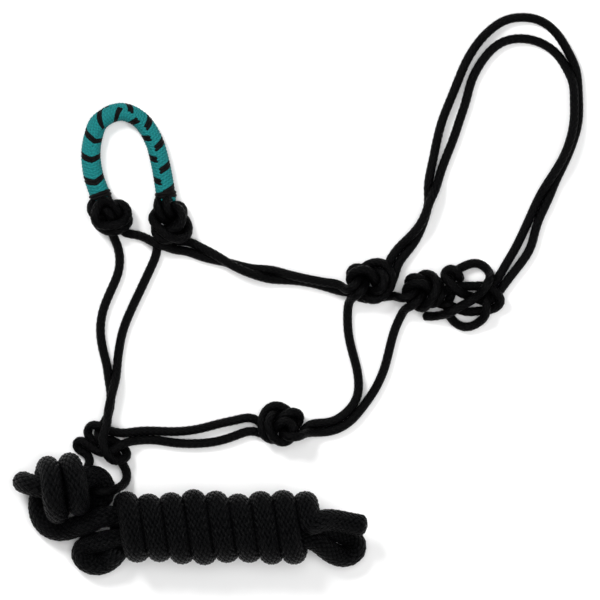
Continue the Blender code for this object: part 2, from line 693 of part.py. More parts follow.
def main():
    clear_scene()
    parts = new_collection("rope_halter")
    cutters = new_collection("cutters")
    halter, starts, lead = settled_ropes()
    add_halter_rope(halter, starts, parts)
    add_cover(parts)
    rope_object("lead_hitch", thin_out(lead), LEAD * TUBE_SHARE, "lead_rope", parts)
    for name, route in (("lead_bight_near", BIGHT_NEAR), ("lead_bight_far", BIGHT_FAR),
                        ("lead_end", LEAD_END)):
        even, _ = smooth(route, LEAD_STEP)
        rope_object(name, thin_out(even), LEAD * TUBE_SHARE, "lead_rope", parts)
    add_hank(parts, cutters)
    centre(parts)
    centre(cutters)


if __name__ == "__main__":
    main()
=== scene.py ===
"""Looks of the rope halter: braided ropes, the teal and black noseband cover, the lead.

The routes and the settling repeat those of the model, in millimetres, so every rope lies
where its plain solid lies. MM turns them into metres when a mesh is made.
"""

from collections import namedtuple
import json
import math

import bpy
import numpy as np
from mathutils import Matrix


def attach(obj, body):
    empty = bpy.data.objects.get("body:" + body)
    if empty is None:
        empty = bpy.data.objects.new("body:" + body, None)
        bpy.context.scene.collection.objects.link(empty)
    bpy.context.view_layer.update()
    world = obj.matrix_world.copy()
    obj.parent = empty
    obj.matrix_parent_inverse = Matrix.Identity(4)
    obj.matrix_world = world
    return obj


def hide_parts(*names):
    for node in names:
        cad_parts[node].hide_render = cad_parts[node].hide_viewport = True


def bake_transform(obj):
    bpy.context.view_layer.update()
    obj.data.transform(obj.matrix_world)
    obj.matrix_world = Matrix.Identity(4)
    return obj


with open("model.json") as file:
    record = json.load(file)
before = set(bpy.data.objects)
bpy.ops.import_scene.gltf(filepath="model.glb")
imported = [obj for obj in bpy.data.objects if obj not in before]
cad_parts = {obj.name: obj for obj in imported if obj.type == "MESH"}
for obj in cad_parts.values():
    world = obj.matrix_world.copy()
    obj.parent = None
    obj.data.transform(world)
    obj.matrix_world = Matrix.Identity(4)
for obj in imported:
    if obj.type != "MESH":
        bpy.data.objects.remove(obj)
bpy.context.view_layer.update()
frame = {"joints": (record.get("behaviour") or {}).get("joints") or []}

MM = 0.001
ROPE = 6.6                      # halter rope, diameter
LEAD = 16.0                     # lead rope, diameter
LEVEL = 1.12                    # height of one level, in rope diameters
STEP = 2.6                      # spacing of the points that settle, halter rope
LEAD_STEP = 4.5
LEAD_ENTRY = 4                  # points of the lead that the hank holds still
SINK = 0.05                     # how far a settling rope sinks in a round
TENSION = 0.16                  # how hard a settling rope pulls itself straight
STIFFNESS = 0.2                 # how hard it resists bending
TIGHTEST = 0.54                 # its tightest bend, radius over diameter
SETTLE_ROUNDS = 420
STILL_ROUNDS = 80
MOUTH_HOLD = (0.95, 0.9, 0.8, 0.6, 0.3)    # how firmly the cover holds a rope near its mouth
MOUTH_REACH = 3                 # points past those that still count as near the mouth
ROPE_HOLD = 0.12                # how firmly a rope between knots keeps its place
FIADOR_HOLD = 0.05
KNOT_HOLD = 0.02
LEAD_HOLD = 0.02
CLEARANCE = 0.1                 # added to a rope's radius while it settles
BEND_REACH = 2.6                # stiffness acts this many radii along a rope
BEND_MOST = 5                   # and over no more than this many points
BEND_SLACK = 0.97
PUSH = 1.5                      # more than 1 moves ropes apart a little faster
LIST_ROUNDS = 20                # the list of close pairs is made again this often
LIST_REACH = 4.0                # and takes in pairs this much further apart
CURVE_STEPS = 16                # steps between two given points of a smooth curve
CUT_SEARCH = 4                  # points either side in which a cut may be moved
CUT_MOVES = {
    "cheek_knot_right_a": -9, "crown_rope_inner": 1, "crown_rope_outer": 1,
    "crown_tie_inner": -6,
}
CORE_INSET = 2                  # points by which a squeezed core is shorter than its route
CENTRE_SHIFT = (-1.31, 0.07)    # puts the middle of the layout on the origin
CORE_OFFSET = 2.9
CORE_STEP = 8.0
COVER_RADII = (7.8, 7.6, 7.2, 6.9, 6.8, 7.0, 7.3, 7.5)
COVER_BLOCK = 7.4               # the cover's size when other ropes settle against it
COVER_BLOCK_STEP = 3.0
COVER_BLOCK_INSET = 3           # points by which that block is shorter at each end

NOSEBAND = [
    (-145, 68), (-149, 79), (-152, 88), (-154, 104), (-152, 118), (-147, 129), (-132, 136),
    (-117, 130), (-107, 115), (-102, 98), (-99, 82), (-97, 68),
]

# The halter rope from one end to the other. A knot pass is (knot, side, direction).
HALTER = [
    ("crown_tie_outer", [
        (95, -17, 0), (103, -18, 0), (112, -15, 1), (122, -10, 2.1), (129, -6, 2),
        (136, -2, 2), (143, 4, 2.2), (146, 12, 1.6), (142, 20, 1), (135, 23, 1),
        (128, 21, 1), (122, 16, 0.4), (118, 6, 0), (116, -2, 0), (114, -11, 0),
        (116, -19, 0), (122, -24, 0), (129, -26, 0.2), (138, -21, 1), (143, -13, 2.1),
        (143, -4, 1.2), (148, 4, 0),
    ]),
    ("crown_rope_inner", [
        (153, 13, 0), (158, 22, 0), (164, 32, 0), (170, 44, 0), (175, 55, 0.2),
        (183, 70, 0.8), (191, 85, 1), (200, 100, 1), (206, 115, 1), (209, 130, 1),
        (209, 145, 1), (208, 160, 1), (202, 172, 0.8), (191, 184, 0.2), (178, 190, 0),
        (164, 191, 0), (152, 187, 0), (141, 176, 0), (132, 160, 0), (128, 145, 0),
        (123, 130, 0), (118, 115, 0), (112, 100, 0), (106, 83, 0.3), (100, 68, 1),
        (96, 56, 1), (88, 44, 0.3), (78, 33, 0), (71, 24, 0),
    ]),
    ("cheek_knot_right_a", ("cheek_knot_right", 1, -1)),
    ("cheek_rope_right", [
        (36, 5, 0), (26, 7, 1), (10, 10, 0.3), (-4, 13, 0), (-20, 16, 0), (-34, 18, 0),
        (-48, 22, 0.6), (-64, 26, 0), (-75, 30, 0), (-88, 34, 0), (-100, 37, 0),
        (-109, 40, 0), (-117, 43, 0),
    ]),
    ("nose_knot_right_a", ("nose_knot_right", 1, -1)),
    ("noseband_core_a", ("core", 1, 1)),
    ("nose_knot_left_a", ("nose_knot_left", 1, 1)),
    ("cheek_rope_left", [
        (-83, 40, 0), (-75, 34, 0), (-64, 30, 0.2), (-48, 21, 1.5), (-34, 15, 0.2),
        (-20, 12, 0), (-4, 10, 0), (10, 8, 0), (26, 4, 0), (40, 0, 0), (56, -2, 0),
        (67, -1, 0),
    ]),
    ("cheek_knot_left_a", ("cheek_knot_left", 1, 1)),
    ("tie_loop", [
        (112, 4, 1), (118, 5, 1), (126, 6, 1), (138, 4, 1), (148, 1, 1), (154, -4, 1),
        (153, -9, 1), (146, -12, 1), (136, -14, 1), (126, -14, 1), (118, -11, 1),
        (112, -8, 1),
    ]),
    ("cheek_knot_left_b", ("cheek_knot_left", -1, -1)),
    ("throat_rope_left", [
        (85, -8, 0), (80, -15, 0), (74, -28, 0), (70, -43, 0), (66, -58, 0), (59, -73, 0),
        (52, -83, 0), (42, -94, 0), (27, -103, 0), (12, -104, 0),
    ]),
    ("throat_knot_a", ("throat_knot", 1, 1)),
    ("jaw_rope_left", [
        (-32, -94, 0), (-42, -95, 0), (-57, -98, 0), (-72, -102, 0), (-87, -104, 0),
        (-102, -104, 0), (-110, -104, 0.3),
    ]),
    ("fiador_knot_a", [
        (-118, -105, 0.4), (-126, -105, 0.8), (-138, -106, 1.6), (-148, -100, 1.6),
        (-154, -100, 1), (-158, -107, 0.6), (-149, -113, 0.1), (-138, -111, 0.1),
        (-129, -115, 0.6), (-126, -122, 1), (-133, -127, 1.6), (-141, -122, 2),
        (-146, -110, 2.2), (-143, -100, 1.6), (-141, -89, 1.1),
    ]),
    ("chin_rope_left", [
        (-138, -75, 1), (-135, -58, 0.1), (-133, -43, 0), (-130, -28, 0), (-124, -13, 0),
        (-117, 2, 0), (-110, 17, 0), (-104, 32, 0),
    ]),
    ("nose_knot_left_b", ("nose_knot_left", -1, -1)),
    ("noseband_core_b", ("core", -1, -1)),
    ("nose_knot_right_b", ("nose_knot_right", -1, 1)),
    ("chin_rope_right", [
        (-133, 32, 0), (-133, 17, 0), (-139, 2, 0), (-145, -13, 0), (-147, -28, 0),
        (-145, -43, 0), (-141, -58, 0), (-139, -73, 0),
    ]),
    ("fiador_knot_b", [
        (-140, -88, 0), (-143, -97, 0), (-148, -106, 0.4), (-144, -115, 0.2),
        (-136, -119, 0.3),
    ]),
    ("fiador_loop", [
        (-132, -125, 0.8), (-129, -131, 1.4), (-127, -137, 2), (-129, -143, 2.8),
        (-138, -148, 3.4), (-149, -150, 3.4), (-158, -146, 2.6), (-159, -136, 1.2),
        (-155, -126, 0.6),
    ]),
    ("fiador_knot_c", [
        (-159, -119, 0.1), (-165, -116, 0.5), (-162, -110, 1), (-151, -116, 1.4),
        (-138, -117, 0.9), (-126, -112, 0.3), (-118, -109, 0),
    ]),
    ("jaw_rope_right", [
        (-110, -109, 0), (-102, -111, 0), (-87, -113, 0), (-72, -113, 0), (-57, -111, 0),
        (-42, -106, 0), (-32, -103, 0),
    ]),
    ("throat_knot_b", ("throat_knot", -1, -1)),
    ("throat_rope_right", [
        (12, -99, 0.2), (26, -98, 0), (36, -93, 0), (44, -83, 0), (47, -73, 0),
        (46, -58, 0), (42, -43, 0), (39, -28, 0), (39, -14, 0), (40, -5, 0),
    ]),
    ("cheek_knot_right_b", ("cheek_knot_right", -1, 1)),
    ("crown_rope_outer", [
        (75, 22, 0), (81, 30, 0), (90, 41, 0), (96, 54, 0), (100, 70, 0), (100, 85, 0),
        (103, 100, 0), (106, 115, 0), (110, 130, 0), (116, 145, 0), (122, 160, 0),
        (129, 176, 0), (141, 193, 0), (157, 205, 0), (171, 207, 0), (183, 205, 0),
        (195, 196, 0), (206, 178, 0), (211, 160, 0), (212, 145, 0), (212, 130, 0),
        (208, 114, 0), (202, 99, 0), (195, 85, 0), (188, 70, 0), (182, 55, 0),
        (179, 44, 0), (176, 33, 0), (170, 24, 0), (164, 16, 0), (158, 9, 0),
    ]),
    ("crown_tie_inner", [
        (151, 1, 0), (140, -4, 0.1), (130, -2, 0.8), (122, 2, 1.6), (115, 7, 2.2),
        (111, 14, 1.7), (116, 18, 1), (122, 14, 0.5), (119, 9, 0.1),
    ]),
]

# An overhand knot tied in two ropes: middle, turn in degrees, half width and height.
KNOTS = {
    "nose_knot_right": {"middle": (-139.5, 55.5), "turn": -20, "size": (4.9, 5.0)},
    "nose_knot_left": {"middle": (-96, 52), "turn": -90, "size": (5.0, 5.9)},
    "cheek_knot_right": {"middle": (55.5, 9), "turn": 0, "size": (4.3, 4.6)},
    "cheek_knot_left": {"middle": (97.5, 1), "turn": 0, "size": (4.3, 4.2)},
    "throat_knot": {"middle": (-11.5, -100.5), "turn": -14, "size": (-3.6, 5.4)},
}
KNOT_SCALE = 0.8                # size of a knot's loops against the sizes above
KNOT_SPREAD = 0.55              # half the distance between the two ropes, in rope diameters
KNOT_BASE = 0.9                 # height of a knot's lowest pass, in rope diameters
KNOT_STACK = math.radians(50)   # how far the two ropes of a knot pass lie over each other
KNOT_RISE = 0.95                # half the rise and fall along a knot, in rope diameters
KNOT_ENDS = math.radians(143)
KNOT_POINTS = 25

# The lead rope: short end, two wraps on itself, the fiador loop, then the hank.
LEAD_HITCH = [
    (-206, -141, 18), (-200, -142, 22), (-192, -144, 26), (-182, -146, 28), (-170, -147, 29),
    (-159, -143, 30), (-149, -139, 23), (-144, -145, 15), (-149, -157, 15),
]
HITCH_AXIS = (-149.0, 28.0)     # y and z of the middle of the wraps
HITCH_RADII = (18.5, 19.0)
HITCH_SPAN = (-160.0, -192.0)
HITCH_TURNS = 1.85
LEAD_TO_HANK = [
    (-182, -170, 9), (-170, -172, 9), (-158, -170, 14), (-147, -168, 21), (-141, -167, 23),
    (-136.2, -167, 23),
]
BIGHT_NEAR = [
    (-136.2, -187, 12), (-141, -187, 12), (-149, -186, 9), (-158, -189, 8.2),
    (-162, -195, 8.2), (-157, -201, 8.2), (-149, -203, 9), (-141, -202, 12), (-136.2, -202, 12),
]

# The hank: two runs inside it, then wraps round them, seen from the near end.
HANK_Y = -175.5
HANK_Z = 24.0
WRAP_Y = 20.3                   # half width of a wrap's middle line
WRAP_Z = 17.2                   # half height of it
WRAP_PITCH = 16.75
WRAP_FIRST_X = -127.0           # where the first wrap crosses the hank's upper edge
WRAP_TURNS = 8.75
WRAP_START = math.radians(25)   # from the -Y side, going under
WRAP_STEPS = 22                 # points in a turn
WRAP_REACH = (0.2, -1.6, -0.6, 1.8, 0.6, -1.6, 0.4, 1.2, 0.3, 0.0)
WRAP_ACROSS = 8.5               # half width of the rope along the hank, in a wrap
WRAP_THICK = 6.9                # half its thickness there
RUN_HALF = 6.3                  # half the thickness of a rope squeezed inside the hank
RUN_A = [(-128, -168.5, 24), (-95, -169, 24), (-60, -169.5, 24), (-25, -169, 24), (2, -169.5, 24)]
BIGHT_OUT = [
    (16, -171.5, 22.5), (24, -175, 19), (32, -179, 13), (39, -182, 9.5), (44.5, -187, 8.3),
    (45, -193, 8.2), (39, -197.5, 9), (31, -197, 11.5), (23, -192, 17), (15, -185.5, 21.5),
]
RUN_B = [(2, -182.5, 24), (-25, -182, 24), (-60, -182.5, 24), (-95, -182, 24), (-126, -182.5, 24)]
BIGHT_BACK = [
    (-137, -184, 21), (-147, -187, 15), (-156, -189, 10), (-161.5, -195, 8.2),
    (-157, -202, 8.2), (-148, -204, 9), (-140, -200.5, 11),
]
LEAD_TAIL = [
    (11, -173.5, 41.5), (18, -170, 38.5), (27, -169.5, 33), (37, -171.5, 27.5), (47, -173.5, 25),
    (53.5, -174.5, 24),
]

HALTER_PIECES = (
    # name, first part, last part, body
    ("crown_tie_tail", "crown_tie_outer", "crown_tie_outer", "halter"),
    ("crown_strand_inner", "crown_rope_inner", "crown_rope_inner", "crown"),
    ("cheek_strand_right", "cheek_knot_right_a", "nose_knot_right_a", "halter"),
    ("noseband_strand_outer", "noseband_core_a", "noseband_core_a", "noseband"),
    ("cheek_and_throat_strand", "nose_knot_left_a", "throat_knot_a", "halter"),
    ("jaw_and_chin_strand_left", "jaw_rope_left", "nose_knot_left_b", "halter"),
    ("noseband_strand_inner", "noseband_core_b", "noseband_core_b", "noseband"),
    ("chin_and_jaw_strand_right", "nose_knot_right_b", "jaw_rope_right", "halter"),
    ("throat_strand_right", "throat_knot_b", "cheek_knot_right_b", "halter"),
    ("crown_strand_outer", "crown_rope_outer", "crown_rope_outer", "crown"),
    ("crown_tie_end", "crown_tie_inner", "crown_tie_inner", "halter"),
)
# Each body with a hinge: its hinge, and a length past the hinge.
FOLDS = {"noseband": ("noseband_fold", 24), "crown": ("crown_fold", 30)}

# Braids: sides of the tube, strands each way round, length of a strand's turn, relief.
Braid = namedtuple("Braid", "sides strands pitch relief")
HALTER_BRAID = Braid(sides=32, strands=8, pitch=36.0, relief=0.5)
LEAD_BRAID = Braid(sides=72, strands=12, pitch=62.0, relief=1.1)
CORD_BRAID = Braid(sides=12, strands=4, pitch=11.0, relief=0.25)
LINING_BRAID = Braid(sides=24, strands=8, pitch=30.0, relief=0.1)
CROWN_POWER = 0.7               # less than 1 widens a strand's crown
CROWN_SHARE = 0.6               # share of a braid's height that is the strand's own crown
OVER_SHARE = 0.4                # and the share from lying over or under another strand
BRAID_MIDDLE = 0.65             # the height that lies on the rope's nominal radius
FINE_STEP = 1.1                 # ring spacing of the halter rope
FINE_ROUNDS = 6                 # rounds of taking small kinks out of it
LEAD_FINE_STEP = 1.42
LEAD_FINE_ROUNDS = 10
LEAD_CHANGE = 25                # rings over which the lead's section changes
ROUND_LENGTH = 0.7              # a rounded end is this many radii long
ROUND_LEAST = 0.02              # keeps its last ring from closing to a point
TUCK = (0.02, 0.35)             # how far a cut end's last rings sink under the next piece
PROUD = 0.02                    # added to the rope's radius outside the noseband
CORE_RADIUS_SEEN = 2.5          # radius of the rope inside the noseband
CORE_NARROWING = 8              # the length over which it narrows to that

CORD = 2.9                      # noseband cord, diameter
CORD_STEP = 0.9                 # its ring spacing
CORD_POINTS = 42                # points given along half a turn of it
CORD_LEAST_POINTS = 4           # a cord with fewer left after trimming isn't made
CORD_PHASE = 7.3                # how far each cord's braid is moved along from the last
COVER_FINE_STEP = 0.8
COVER_TRIM = 1.0                # the cover stops this far short of its route's ends
WHIPPING = (4.4, 6.8)           # rings of black cord round it, this far from each end
WHIPPING_TURNS = 1.02           # a ring's ends lap by this much more than one turn
WHIPPING_POINTS = 44
WHIPPING_PROUD = 0.8            # how far a ring stands above the other cords
LINING_DEPTH = 2.1              # the lining lies this far under the cover's surface
CORD_FIRST = -15.3              # place of the first cord, and the distance to the next
CORD_SPACING = 2.47
BAND_EVERY = 7                  # cords in one repeat of the pattern, and which are black
BAND_CORDS = (5, 6)
TOP_SQUEEZE = 0.83              # cords lie closer round the top of the arch
TOP_FROM_TO = (0.2, 0.5)
CORD_SLANT = 9.0                # how far a cord runs along the cover in half a turn
CORD_SPLIT = 4.5                # how far the two halves part on the second leg
SPLIT_FROM_TO = (0.3, 0.5)
LAP = 0.065                     # how far two halves lap where they meet, in half turns
END_SINK = 1.5                  # how far a cord's end goes under the next
# Where the near spine lies: share of the way along, and degrees round from the top.
SPINE_TURN = ((0, 0), (0.25, 8), (0.33, 40), (0.42, 95), (0.52, 165), (0.6, 190), (1, 197))

FUZZ_STRETCH = (60.0, 2600.0, 1.0)  # times a turn across, and a metre along
FUZZ_DETAIL = 3.0
WEAR_SCALE = 55.0
WEAR_DETAIL = 2.0
YARN_SHARE = 0.25
FUZZ_SHARE = 0.3
WEAR_SHARE = 0.3
SHADE_AND_HIGHLIGHT_HEIGHTS = (0.55, 1.75)     # braid heights that take the darker tone, painted shade in the hollows, and the lighter tone, a painted highlight on the crowns
BUMP_STRENGTH = 0.9
# Each look: dark tone (its own colour with painted shade, for the braid's hollows) and light tone
# (its own colour with a painted highlight, for the crowns), roughness, shine, braid, yarns in a
# strand, bump depth.
LOOKS = {
    "black_halter_rope": (
        (0.0003, 0.0003, 0.0004), (0.002, 0.002, 0.0022), 0.38, 0.035, HALTER_BRAID, 3, 0.5),
    "black_lead_rope": (
        (0.0001, 0.0001, 0.0002), (0.0026, 0.0028, 0.0032), 0.32, 0.05, LEAD_BRAID, 2, 1.6),
    "teal_noseband_cord": (
        (0.002, 0.075, 0.078), (0.009, 0.235, 0.24), 0.7, 0.15, CORD_BRAID, 2, 0.2),
    "black_noseband_cord": (
        (0.0006, 0.0005, 0.0006), (0.0034, 0.003, 0.0034), 0.6, 0.08, CORD_BRAID, 2, 0.2),
}

CAMERA_AT = (1.7, -5.2)         # the middle of the view, and how much it takes in
CAMERA_VIEW = 450.0
CAMERA_HEIGHT = 5000.0          # above the level where the view is that wide
VIEW_LEVEL = 12.0               # height of that level above the ground
SENSOR = 36.0
CAMERA_CLIP = 50.0              # metres, as all the sizes below are
FLOOR_SIZE = 6.0
FLOOR_GAP = 0.0003
FLOOR_TONE = 0.93
FLOOR_ROUGHNESS = 0.9
FLOOR_SHINE = 0.1
WORLD_STRENGTH = 0.28
# Name, place, width and power in watts.
LAMPS = (
    ("key", (-0.9, 1.1, 1.5), 0.7, 30),
    ("fill", (1.4, -0.9, 1.3), 1.2, 16),
    ("top", (0.1, 0.0, 2.2), 1.6, 25),
)


def unit(vectors):
    return vectors / np.maximum(np.linalg.norm(vectors, axis=1), 1e-9)[:, None]


def lengths(points):
    """How far along the route each point is."""
    return np.concatenate([[0], np.cumsum(np.linalg.norm(np.diff(points, axis=0), axis=1))])


def rope_height(level, diameter):
    """Height of a rope's middle line at a level: 0 lies on the ground, 1 on one rope."""
    return diameter * (0.5 + level * LEVEL)


def overhand(knot, side):
    """Points of one rope through a knot that two ropes share, from its left end."""
    spec = KNOTS[knot]
    turn = math.radians(spec["turn"])
    width, height = spec["size"]
    angles = np.linspace(KNOT_ENDS, -KNOT_ENDS, KNOT_POINTS)
    flat = np.stack([
        width * (np.sin(angles) + 2 * np.sin(2 * angles)) * KNOT_SCALE,
        height * (np.cos(angles) - 2 * np.cos(2 * angles)) * KNOT_SCALE,
    ], axis=1)
    along = unit(np.gradient(flat, axis=0))
    flat += side * KNOT_SPREAD * ROPE * math.cos(KNOT_STACK) * np.stack(
        [-along[:, 1], along[:, 0]], axis=1)
    high = ROPE * (KNOT_BASE + KNOT_RISE * (1 + np.sin(3 * angles)))
    high += side * KNOT_SPREAD * ROPE * math.sin(KNOT_STACK)
    cosine, sine = math.cos(turn), math.sin(turn)
    x = spec["middle"][0] + cosine * flat[:, 0] - sine * flat[:, 1]
    y = spec["middle"][1] + sine * flat[:, 0] + cosine * flat[:, 1]
    return np.stack([x, y, high], axis=1)


def smooth(points, spacing):
    """Points at an even spacing along a smooth curve, and where each given one falls."""
    points = np.asarray(points, float)
    count = len(points)
    tangents = np.gradient(points, axis=0)
    fine = []
    for i in range(count - 1):
        share = np.linspace(0, 1, CURVE_STEPS, endpoint=False)[:, None]
        chord = np.linalg.norm(points[i + 1] - points[i])
        ends = []
        for k in (i, i + 1):
            length = np.linalg.norm(tangents[k])
            ends.append(tangents[k] / max(length, 1e-9) * chord)
        fine.append(
            points[i] * (2 * share**3 - 3 * share**2 + 1)
            + ends[0] * (share**3 - 2 * share**2 + share)
            + points[i + 1] * (3 * share**2 - 2 * share**3)
            + ends[1] * (share**3 - share**2))
    fine = np.concatenate(fine + [points[-1:]])
    run = lengths(fine)
    pieces = max(2, round(run[-1] / spacing))
    even = np.linspace(0, run[-1], pieces + 1)
    result = np.stack([np.interp(even, run, fine[:, k]) for k in range(3)], axis=1)
    marks = np.round(run[np.arange(count) * CURVE_STEPS] / run[-1] * pieces).astype(int)
    return result, marks


def cover_route(spacing):
    """The noseband's middle line, lying on the ground, with the cover's radius there."""
    flat, _ = smooth([(x, y, 0) for x, y in NOSEBAND], spacing)
    share = np.linspace(0, 1, len(flat))
    radius = np.interp(share, np.linspace(0, 1, len(COVER_RADII)), COVER_RADII)
    flat[:, 2] = radius
    return flat, radius


def core_points(side):
    """Points of one of the two ropes inside the noseband."""
    middle, _ = cover_route(CORE_STEP)
    along = unit(np.gradient(middle, axis=0))
    across = np.stack([-along[:, 1], along[:, 0], np.zeros(len(along))], axis=1)
    return middle + side * CORE_OFFSET * across


def halter_points():
    """The whole halter rope before it settles, and the name and start of each part."""
    points = []
    starts = []
    for name, what in HALTER:
        if isinstance(what, tuple):
            where, side, direction = what
            part = core_points(side) if where == "core" else overhand(where, side)
            part = part[::direction]
        else:
            part = [(x, y, rope_height(level, ROPE)) for x, y, level in what]
        after_core = bool(starts) and "core" in starts[-1][0]
        starts.append((name, len(points) - 1 if after_core else len(points)))
        points.extend([tuple(p) for p in part])
    even, marks = smooth(points, STEP)
    return even, [(name, marks[start]) for name, start in starts]


def wrap(axis_y, axis_z, radii, span, turns):
    """Turns of rope round a line along X, starting on its -Y side."""
    share = np.linspace(0, 1, int(turns * CURVE_STEPS) + 1)
    angle = 2 * math.pi * turns * share
    x = span[0] + (span[1] - span[0]) * share
    y = axis_y - radii[0] * np.cos(angle)
    z = axis_z + radii[1] * np.sin(angle)
    return [tuple(p) for p in np.stack([x, y, z], axis=1)]


def lead_points():
    """The lead rope from its short end to the hank, before it settles."""
    wraps = wrap(*HITCH_AXIS, HITCH_RADII, HITCH_SPAN, HITCH_TURNS)
    points = LEAD_HITCH + wraps + LEAD_TO_HANK
    even, _ = smooth(points, LEAD_STEP)
    return even


def close_pairs(points, radii, rope, skip, mouth, reach):
    """Pairs of points that may touch, leaving out neighbours along one rope."""
    order = np.arange(len(points))
    first, second = [], []
    for i in range(len(points) - 1):
        other = order[i + 1:]
        gap = np.abs(points[other] - points[i]).max(axis=1)
        near = gap < radii[i] + radii[other] + reach
        near &= ~((rope[other] == rope[i]) & (other - i <= skip[i]))
        near &= ~((rope[other] == -1) & mouth[i])
        hit = other[near]
        first.append(np.full(len(hit), i))
        second.append(hit)
    return np.concatenate(first), np.concatenate(second)


def bend_pairs(points, radii, rope, skip):
    """Near neighbours along a rope, and the least distance its stiffness allows them."""
    first, second, least = [], [], []
    for steps in range(2, int(skip.max()) + 1):
        a = np.nonzero((rope[:-steps] == rope[steps:]) & (skip[:-steps] >= steps))[0]
        spacing = np.linalg.norm(points[a + 1] - points[a], axis=1)
        tightest = TIGHTEST * 2 * radii[a]
        angle = np.minimum(steps * spacing / (2 * tightest), math.pi / 2)
        first.append(a)
        second.append(a + steps)
        least.append(2 * tightest * np.sin(angle) * BEND_SLACK)
    return np.concatenate(first), np.concatenate(second), np.concatenate(least)


def push_apart(points, a, b, least, free):
    """Move each pair that is too close half the missing distance each."""
    away = points[a] - points[b]
    size = np.maximum(np.linalg.norm(away, axis=1), 1e-6)
    hit = size < least
    i, j = a[hit], b[hit]
    push = (0.5 * (least[hit] / size[hit] - 1))[:, None] * away[hit]
    count = np.bincount(np.concatenate([i, j]), minlength=len(points))
    total = np.zeros_like(points)
    np.add.at(total, i, push)
    np.add.at(total, j, -push)
    points[free] += total[free] * (PUSH / np.maximum(count, PUSH))[free, None]


def settle(ropes, fixed):
    """Let ropes lie on the ground and against each other without passing through.

    ropes is a list of (points, radius, hold): hold is how strongly each point keeps
    its place on the ground plan, and 1 pins it. fixed is (points, radii) that stay.
    """
    points = np.concatenate([r[0] for r in ropes] + [fixed[0]])
    radii = np.concatenate([np.full(len(r[0]), r[1]) for r in ropes] + [fixed[1]])
    hold = np.concatenate([r[2] for r in ropes] + [np.ones(len(fixed[0]))])
    rope = np.concatenate(
        [np.full(len(r[0]), k) for k, r in enumerate(ropes)] + [np.full(len(fixed[0]), -1)])
    home = points.copy()
    pinned = hold >= 1
    free = ~pinned
    inner = np.zeros(len(points), bool)
    inner[1:-1] = (rope[:-2] == rope[2:]) & free[1:-1]
    deep_inner = np.zeros(len(points), bool)
    deep_inner[2:-2] = (rope[:-4] == rope[4:]) & free[2:-2]
    spacing = np.ones(len(points))
    spacing[:-1] = np.maximum(np.linalg.norm(np.diff(points, axis=0), axis=1), 1.0)
    skip = np.minimum(np.ceil(BEND_REACH * radii / spacing), BEND_MOST).astype(int)
    bend = bend_pairs(points, radii, rope, skip)
    mouth = np.zeros(len(points), bool)
    near_mouth = len(MOUTH_HOLD) + MOUTH_REACH
    for i in np.nonzero(pinned & (rope >= 0) & (radii < LEAD / 2))[0]:
        mouth[max(0, i - near_mouth):i + near_mouth + 1] = True
    gripped = hold >= min(MOUTH_HOLD)
    for step in range(SETTLE_ROUNDS + STILL_ROUNDS):
        if step % LIST_ROUNDS == 0:
            a, b = close_pairs(points, radii, rope, skip, mouth, LIST_REACH)
            least = radii[a] + radii[b]
        still = step >= SETTLE_ROUNDS
        near = points[:-2] + points[2:]
        pull = np.zeros_like(points)
        pull[1:-1] = 0.5 * near - points[1:-1]
        stiff = np.zeros_like(points)
        stiff[2:-2] = (4 * near[1:-1] - points[:-4] - points[4:]) / 6 - points[2:-2]
        points[deep_inner] += STIFFNESS * stiff[deep_inner]
        if not still:
            points[inner] += TENSION * pull[inner]
            points[free, :2] += (hold[free, None]) * (home - points)[free, :2]
            points[gripped, 2] += hold[gripped] * (home - points)[gripped, 2]
            points[free, 2] -= SINK
        push_apart(points, *bend, free)
        push_apart(points, a, b, least, free)
        push_apart(points, a, b, least, free)
        points[free, 2] = np.maximum(points[free, 2], radii[free])
    deep = np.linalg.norm(points[a] - points[b], axis=1) - least
    print(f"settled {len(points)} points, closest {deep.min():.2f} mm")
    starts = np.cumsum([0] + [len(r[0]) for r in ropes])
    return [points[i:j] for i, j in zip(starts, starts[1:])]


def halter_hold(starts, count):
    """Rope between knots keeps its place; rope in a knot gives way more."""
    hold = np.full(count, ROPE_HOLD)
    ends = [start for _, start in starts[1:]] + [count]
    for (name, start), end in zip(starts, ends):
        if "knot" in name:
            hold[start:end] = FIADOR_HOLD if "fiador" in name else KNOT_HOLD
        if "core" in name:
            hold[start:end] = 1.0
            hold[start:start + len(MOUTH_HOLD)] = MOUTH_HOLD[::-1]
            hold[end - len(MOUTH_HOLD):end] = MOUTH_HOLD
    return hold


def turn_at(points, i, reach=2):
    """The angle a rope turns through at one of its points."""
    before = points[i] - points[i - reach]
    after = points[i + reach] - points[i]
    cosine = before @ after / (np.linalg.norm(before) * np.linalg.norm(after))
    return math.acos(max(-1.0, min(1.0, float(cosine))))


def straight_cuts(points, starts):
    """Move each cut between two parts to the straightest spot close by."""
    moved = [starts[0]]
    for (before, _), (name, start) in zip(starts, starts[1:]):
        nominal = start + CUT_MOVES.get(name, 0)
        reach = CUT_SEARCH if name not in CUT_MOVES else 1
        places = range(nominal - reach, nominal + reach + 1)
        if "core" in name:
            places = [start + CORE_INSET]
        if "core" in before:
            places = [start - CORE_INSET]
        moved.append((name, min(places, key=lambda i: turn_at(points, i))))
    return moved


